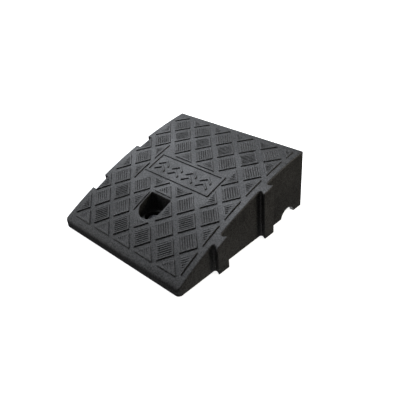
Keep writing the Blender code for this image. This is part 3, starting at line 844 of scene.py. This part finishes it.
def pad_rubber():
    """Moulded nitrile rubber: dull, with a slight dusty mottle."""
    material, tree, shader = new_material("moulded_nitrile_rubber", "#1c1c1c", 0.8)
    place = add_node(tree, "ShaderNodeTexCoord").outputs["Object"]
    dust = add_node(tree, "ShaderNodeTexNoise", links={"Vector": place},
                    values={"Scale": 1 / DUST_SIZE, "Detail": 4.0})
    tone = add_node(tree, "ShaderNodeValToRGB", links={"Fac": dust.outputs["Fac"]},
                    stops=((0.35, "#161616"), (0.75, "#2a2928")))
    tree.links.new(tone.outputs["Color"], shader.inputs["Base Color"])
    bump = add_node(tree, "ShaderNodeBump", links={"Height": dust.outputs["Fac"]},
                    values={"Strength": 0.4, "Distance": 0.05 * MM})
    tree.links.new(bump.outputs["Normal"], shader.inputs["Normal"])
    return material


def oxide_steel(name, dark, light, roughness):
    """Black oxide on carbon steel: dark metal with a mottled sheen."""
    material, tree, shader = new_material(name, dark, roughness, 1.0)
    place = add_node(tree, "ShaderNodeTexCoord").outputs["Object"]
    mottle = add_node(tree, "ShaderNodeTexNoise", links={"Vector": place},
                      values={"Scale": 1 / MOTTLE_SIZE, "Detail": 5.0})
    tone = add_node(tree, "ShaderNodeValToRGB", links={"Fac": mottle.outputs["Fac"]},
                    stops=((0.4, dark), (0.7, light)))
    tree.links.new(tone.outputs["Color"], shader.inputs["Base Color"])
    rough = add_node(tree, "ShaderNodeMapRange", links={"Value": mottle.outputs["Fac"]},
                     values={"To Min": roughness - 0.1, "To Max": roughness + 0.15})
    tree.links.new(rough.outputs["Result"], shader.inputs["Roughness"])
    return material


plastic = moulded_plastic()
rubber = pad_rubber()
bolt_steel = oxide_steel("black_oxide_bolt_steel", "#2b2b2d", "#4a4a4c", 0.38)
washer_steel = oxide_steel("black_oxide_washer_steel", "#38383a", "#5e5e60", 0.42)
finishes = {"grip_pad": rubber, "bolt": bolt_steel, "flat": washer_steel, "spring": washer_steel}
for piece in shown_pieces():
    chosen = next((m for start, m in finishes.items() if piece.name.startswith(start)), plastic)
    piece.data.materials.clear()
    piece.data.materials.append(chosen)

# %% [markdown]
# The floor is a plain pale sheet. It glows so that it stays even, and it doesn't light the object,
# because a black moulding shows every bounce. It can only be seen from above, so that the ribs
# underneath stay in view. One wide softbox behind and above the left side glances off the deck,
# which is what turns black plastic grey. A small light near the kerb's right corner makes that
# side wall a little brighter towards the kerb, and three weak fills keep the back, the left side
# and the underside readable.

# %% Floor, light and surroundings
def area_light(name, place, aim, size, power, colour):
    """Square softbox at a place, aimed at a point."""
    data = bpy.data.lights.new(name, "AREA")
    data.size, data.energy, data.color = size, power, linear(colour)[:3]
    light = bpy.data.objects.new(name, data)
    light.location = place
    light.rotation_euler = (Vector(aim) - Vector(place)).to_track_quat("-Z", "Y").to_euler()
    bpy.context.scene.collection.objects.link(light)
    return light


FLOOR_Z = -0.2 * MM
FLOOR_HALF = 9
FLOOR_GLOW = 0.9
corners = [(x, y, FLOOR_Z) for x, y in rectangle(-FLOOR_HALF, FLOOR_HALF, -FLOOR_HALF, FLOOR_HALF)]
sheet = bpy.data.meshes.new("floor")
sheet.from_pydata(corners, [], [(0, 1, 2, 3)])
floor = bpy.data.objects.new("floor", sheet)
bpy.context.scene.collection.objects.link(floor)
paper, tree, shader = new_material("pale_paper_floor", "#ffffff", 1.0)
shader.inputs["Emission Color"].default_value = linear("#ffffff")
shader.inputs["Emission Strength"].default_value = FLOOR_GLOW
seen = tree.nodes["Material Output"].inputs["Surface"].links[0].from_socket
clear = add_node(tree, "ShaderNodeBsdfTransparent")
under = add_node(tree, "ShaderNodeNewGeometry").outputs["Backfacing"]
one_sided = add_node(tree, "ShaderNodeMixShader", links={0: under, 1: seen, 2: clear.outputs[0]})
tree.links.new(one_sided.outputs[0], tree.nodes["Material Output"].inputs["Surface"])
sheet.materials.append(paper)
floor.visible_diffuse = False
floor.visible_glossy = False
floor.visible_shadow = False

MIDDLE = (0, 0, 0.03)
WORLD_GLOW = 0.06
LIGHTS = (
    # name, place, aim, size in metres, power in watts, colour
    ("softbox_back_left", (-2.5, 0.85, 3.0), MIDDLE, 2.0, 115, "#f4f8ff"),
    ("fill_right", (0.9, 0.5, 0.4), (0.1, 0, 0.03), 0.4, 3.4, "#fff6e2"),
    ("fill_behind", (0.2, 3.0, 1.3), MIDDLE, 1.6, 30, "#ffffff"),
    ("fill_left", (-2.6, -1.0, 0.8), MIDDLE, 1.6, 16, "#ffffff"),
    ("fill_below", (0, 0, -2.0), (0, 0, 0), 1.6, 30, "#ffffff"),
)
for light in LIGHTS:
    area_light(*light)
print(len(LIGHTS), "lights")
world = bpy.data.worlds.new("studio")
bpy.context.scene.world = world
world.use_nodes = True
world.node_tree.nodes["Background"].inputs["Color"].default_value = linear("#ffffff")
world.node_tree.nodes["Background"].inputs["Strength"].default_value = WORLD_GLOW
bpy.context.scene.view_settings.view_transform = "Standard"

# %% [markdown]
# The camera stands to the right of the nose and looks down by a little more than a third of a
# right angle. It is turned about five degrees about its own axis, so the kerb edge slopes down to
# the right.

# %% Camera
AZIMUTH = math.radians(46.2335)
ELEVATION = math.radians(33.683)
ROLL = math.radians(-5.1747)
DISTANCE = 0.6695
TARGET = Vector((0.0715, -0.0165, 0.0506))
FOCAL = 42.254

back = Vector((math.sin(AZIMUTH) * math.cos(ELEVATION),
               -math.cos(AZIMUTH) * math.cos(ELEVATION), math.sin(ELEVATION)))
right = (-back).cross(Vector((0, 0, 1))).normalized()
up = right.cross(-back)
rolled_right = math.cos(ROLL) * right + math.sin(ROLL) * up
rolled_up = -math.sin(ROLL) * right + math.cos(ROLL) * up
placing = Matrix((rolled_right, rolled_up, back)).transposed().to_4x4()
placing.translation = TARGET + back * DISTANCE
camera = bpy.data.objects.new("camera", bpy.data.cameras.new("camera"))
camera.matrix_world = placing
camera.data.lens = FOCAL
bpy.context.scene.collection.objects.link(camera)
bpy.context.scene.camera = camera
